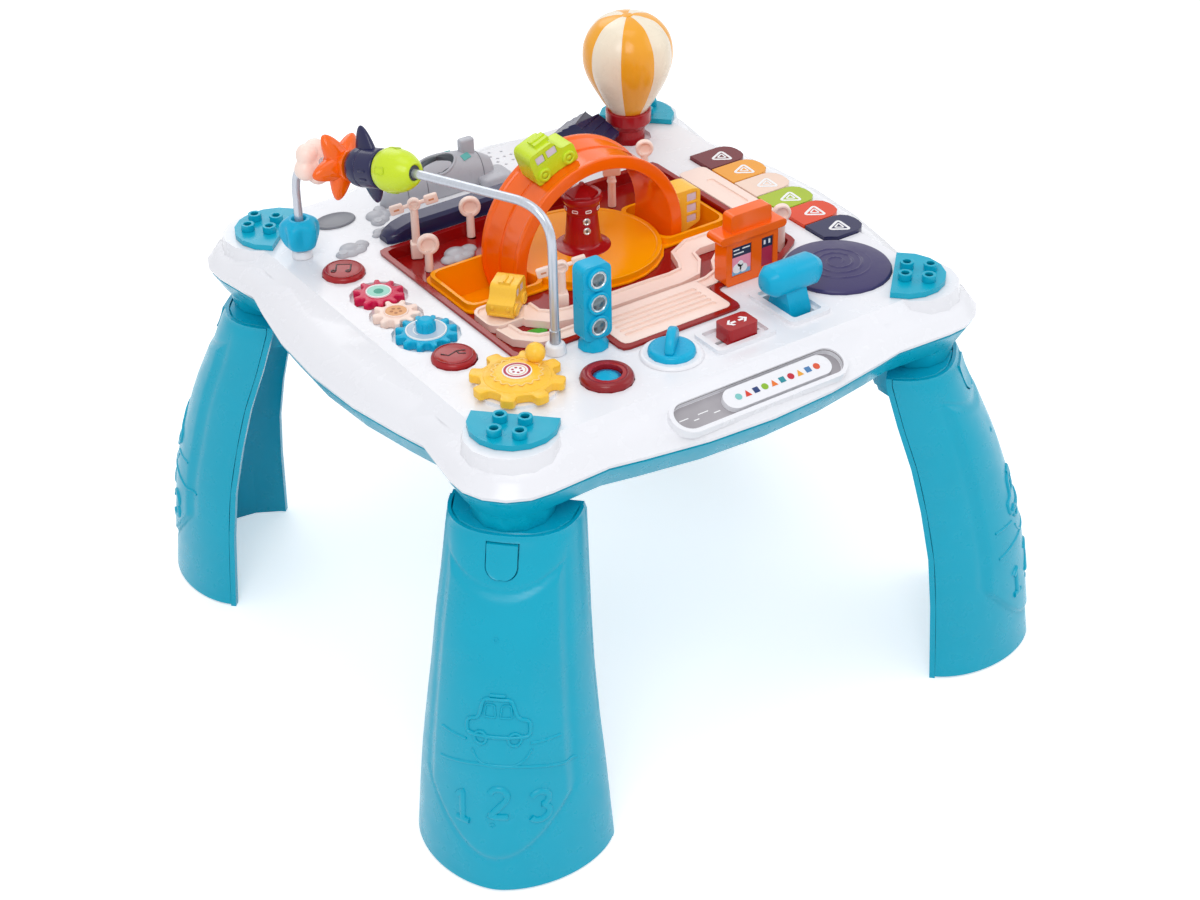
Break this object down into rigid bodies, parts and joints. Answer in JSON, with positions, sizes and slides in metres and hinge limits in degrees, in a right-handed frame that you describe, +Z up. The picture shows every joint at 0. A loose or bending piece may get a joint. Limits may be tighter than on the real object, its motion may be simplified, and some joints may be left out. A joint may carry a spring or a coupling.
{
  "type": "musical activity table",
  "caption": "Toddler's standing play table: lobed deck on open bowed legs, with a bead wire, meshing gears, piano keys, a town with cars on an arch, a lever, a drum and stud plates at the corners.",
  "frame": {"origin": "centre of the table's square plan at floor level", "axes": "+Z up; the edge with the lettering slot faces -Y, the bead wire and gears are on the -X side, the piano keys on the +X side"},
  "size_m": [0.4964, 0.4964, 0.4049],
  "materials": {
    "teal": "moulded, satin",
    "white": "moulded, glossy",
    "wire": "coated steel wire",
    "sky": "moulded, glossy",
    "peach": "moulded, satin",
    "orange": "moulded, glossy",
    "navy": "moulded, glossy",
    "lime": "moulded, glossy",
    "red": "moulded, glossy",
    "maroon": "moulded, glossy",
    "pink": "moulded, glossy",
    "yellow": "moulded, glossy",
    "amber": "moulded, glossy",
    "plum": "moulded, satin",
    "grey": "moulded, satin",
    "board": "coated laminate",
    "black": "paper cone in a pressed basket"
  },
  "bodies": {
    "table": {"leg_front": "teal", "leg_left": "teal", "leg_right": "teal", "leg_back": "teal", "stud_plate_front": "teal", "stud_plate_left": "teal", "stud_plate_right": "teal", "stud_plate_back": "teal", "top_deck": "white", "lower_housing": "teal", "wire_arch": "wire", "town_tray": "maroon", "arena": "amber", "arch_ring": "orange", "road_back": "peach", "road_front": "peach", "sign_posts": "peach", "traffic_light": "sky", "station": "orange", "balloon_pot": "red", "shuttle": "grey", "navy_bar": "navy", "tiled_house": "navy", "battery_door": "white", "circuit_board": "board", "speaker": "black"},
    "latch_front": {"latch_front": "teal"},
    "latch_left": {"latch_left": "teal"},
    "latch_right": {"latch_right": "teal"},
    "latch_back": {"latch_back": "teal"},
    "bead_blue": {"bead_blue": "sky"},
    "bead_cloud": {"bead_cloud": "peach"},
    "rocket_flame": {"rocket_flame": "orange"},
    "rocket_body": {"rocket_body": "navy"},
    "rocket_nose": {"rocket_nose": "lime"},
    "music_button_left": {"music_button_left": "red"},
    "music_button_right": {"music_button_right": "red"},
    "gear_blue": {"gear_blue": "sky"},
    "gear_cream": {"gear_cream": "peach"},
    "gear_pink": {"gear_pink": "pink"},
    "crank_gear": {"crank_gear": "yellow"},
    "turntable": {"turntable": "amber", "tower": "red"},
    "lime_car": {"lime_car": "lime"},
    "bus": {"bus": "yellow"},
    "taxi": {"taxi": "yellow"},
    "target": {"target_ring": "red", "target_eye": "sky"},
    "rotary_knob": {"rotary_knob": "sky"},
    "slider_cube": {"slider_cube": "red"},
    "shift_lever": {"shift_lever": "sky"},
    "drum_pad": {"drum_pad": "plum"},
    "name_slider": {"name_slider": "white"},
    "balloon": {"balloon": "amber"},
    "key_red": {"key_red": "red"},
    "key_amber": {"key_amber": "amber"},
    "key_cream": {"key_cream": "peach"},
    "key_lime": {"key_lime": "lime"},
    "key_orange": {"key_orange": "orange"},
    "key_navy": {"key_navy": "navy"}
  },
  "joints": [
    {"name": "latch_front_press", "type": "slide", "parent": "table", "child": "latch_front", "axis": [0.7071, 0.7071, 0], "range_m": [0, 0.002], "stiffness_N_per_m": 400, "springref_m": -0.001},
    {"name": "latch_left_press", "type": "slide", "parent": "table", "child": "latch_left", "axis": [0.7071, -0.7071, 0], "range_m": [0, 0.002], "stiffness_N_per_m": 400, "springref_m": -0.001},
    {"name": "latch_right_press", "type": "slide", "parent": "table", "child": "latch_right", "axis": [-0.7071, 0.7071, 0], "range_m": [0, 0.002], "stiffness_N_per_m": 400, "springref_m": -0.001},
    {"name": "latch_back_press", "type": "slide", "parent": "table", "child": "latch_back", "axis": [-0.7071, -0.7071, 0], "range_m": [0, 0.002], "stiffness_N_per_m": 400, "springref_m": -0.001},
    {"name": "bead_blue_slide", "type": "slide", "parent": "table", "child": "bead_blue", "axis": [0, 0, 1], "range_m": [0, 0.024]},
    {"name": "bead_cloud_spin", "type": "hinge", "parent": "table", "child": "bead_cloud", "pos_m": [-0.15299, 0.09493, 0.36978], "axis": [0.3009, -0.9003, 0.3146], "continuous": true},
    {"name": "rocket_flame_spin", "type": "hinge", "parent": "table", "child": "rocket_flame", "pos_m": [-0.14475, 0.07027, 0.37514], "axis": [0.3113, -0.9313, 0.1893], "continuous": true},
    {"name": "rocket_body_spin", "type": "hinge", "parent": "table", "child": "rocket_body", "pos_m": [-0.13651, 0.04561, 0.38015], "axis": [0.3113, -0.9313, 0.1893], "continuous": true},
    {"name": "rocket_nose_spin", "type": "hinge", "parent": "table", "child": "rocket_nose", "pos_m": [-0.12779, 0.01953, 0.3854], "axis": [0.3125, -0.935, 0.1678], "continuous": true},
    {"name": "music_button_left_press", "type": "slide", "parent": "table", "child": "music_button_left", "axis": [0, 0, -1], "range_m": [0, 0.002], "stiffness_N_per_m": 400, "springref_m": -0.001},
    {"name": "music_button_right_press", "type": "slide", "parent": "table", "child": "music_button_right", "axis": [0, 0, -1], "range_m": [0, 0.002], "stiffness_N_per_m": 400, "springref_m": -0.001},
    {"name": "gear_blue_spin", "type": "hinge", "parent": "table", "child": "gear_blue", "pos_m": [-0.14431, -0.03024, 0.3], "axis": [0, 0, 1], "continuous": true},
    {"name": "gear_cream_spin", "type": "hinge", "parent": "table", "child": "gear_cream", "pos_m": [-0.1478, 0.003, 0.3], "axis": [0, 0, 1], "continuous": true},
    {"name": "gear_pink_spin", "type": "hinge", "parent": "table", "child": "gear_pink", "pos_m": [-0.14411, 0.03305, 0.3], "axis": [0, 0, 1], "continuous": true},
    {"name": "crank_spin", "type": "hinge", "parent": "table", "child": "crank_gear", "pos_m": [-0.131, -0.121, 0.3], "axis": [0, 0, 1], "continuous": true},
    {"name": "turntable_spin", "type": "hinge", "parent": "table", "child": "turntable", "pos_m": [0.01, 0.014, 0.29], "axis": [0, 0, 1], "continuous": true},
    {"name": "lime_car_run", "type": "hinge", "parent": "table", "child": "lime_car", "pos_m": [0.01, 0.01425, 0.294], "axis": [0, -1, 0], "range_deg": [-10, 45]},
    {"name": "bus_run", "type": "hinge", "parent": "table", "child": "bus", "pos_m": [0.01, 0.01425, 0.294], "axis": [0, -1, 0], "range_deg": [0, 60]},
    {"name": "taxi_run", "type": "hinge", "parent": "table", "child": "taxi", "pos_m": [-0.0654, -0.051, 0.3], "axis": [0, 0, 1], "range_deg": [0, 75]},
    {"name": "target_press", "type": "slide", "parent": "table", "child": "target", "axis": [0, 0, -1], "range_m": [0, 0.002], "stiffness_N_per_m": 400, "springref_m": -0.001},
    {"name": "rotary_turn", "type": "hinge", "parent": "table", "child": "rotary_knob", "pos_m": [-0.029, -0.1465, 0.3], "axis": [0, 0, 1], "range_deg": [-45, 45]},
    {"name": "cube_slide", "type": "slide", "parent": "table", "child": "slider_cube", "axis": [1, 0, 0], "range_m": [-0.0075, 0.0075]},
    {"name": "lever_tilt", "type": "hinge", "parent": "table", "child": "shift_lever", "pos_m": [0.073, -0.14, 0.262], "axis": [1, 0, 0], "range_deg": [-9, 9]},
    {"name": "drum_press", "type": "slide", "parent": "table", "child": "drum_pad", "axis": [0, 0, -1], "range_m": [0, 0.002], "stiffness_N_per_m": 800, "springref_m": -0.001},
    {"name": "name_slide", "type": "slide", "parent": "table", "child": "name_slider", "axis": [1, 0, 0], "range_m": [-0.036, 0]},
    {"name": "balloon_spin", "type": "hinge", "parent": "table", "child": "balloon", "pos_m": [0.1345, 0.1355, 0.32], "axis": [0, 0, 1], "continuous": true},
    {"name": "key_red_press", "type": "slide", "parent": "table", "child": "key_red", "axis": [0, 0, -1], "range_m": [0, 0.0022], "stiffness_N_per_m": 400, "springref_m": -0.001},
    {"name": "key_amber_press", "type": "slide", "parent": "table", "child": "key_amber", "axis": [0, 0, -1], "range_m": [0, 0.0022], "stiffness_N_per_m": 400, "springref_m": -0.001},
    {"name": "key_cream_press", "type": "slide", "parent": "table", "child": "key_cream", "axis": [0, 0, -1], "range_m": [0, 0.0022], "stiffness_N_per_m": 400, "springref_m": -0.001},
    {"name": "key_lime_press", "type": "slide", "parent": "table", "child": "key_lime", "axis": [0, 0, -1], "range_m": [0, 0.0022], "stiffness_N_per_m": 400, "springref_m": -0.001},
    {"name": "key_orange_press", "type": "slide", "parent": "table", "child": "key_orange", "axis": [0, 0, -1], "range_m": [0, 0.0022], "stiffness_N_per_m": 400, "springref_m": -0.001},
    {"name": "key_navy_press", "type": "slide", "parent": "table", "child": "key_navy", "axis": [0, 0, -1], "range_m": [0, 0.0022], "stiffness_N_per_m": 400, "springref_m": -0.001}
  ],
  "couplings": [
    {"joint": "gear_cream_spin", "follows": "gear_blue_spin", "ratio": -1.3333},
    {"joint": "gear_pink_spin", "follows": "gear_blue_spin", "ratio": 1.2}
  ]
}
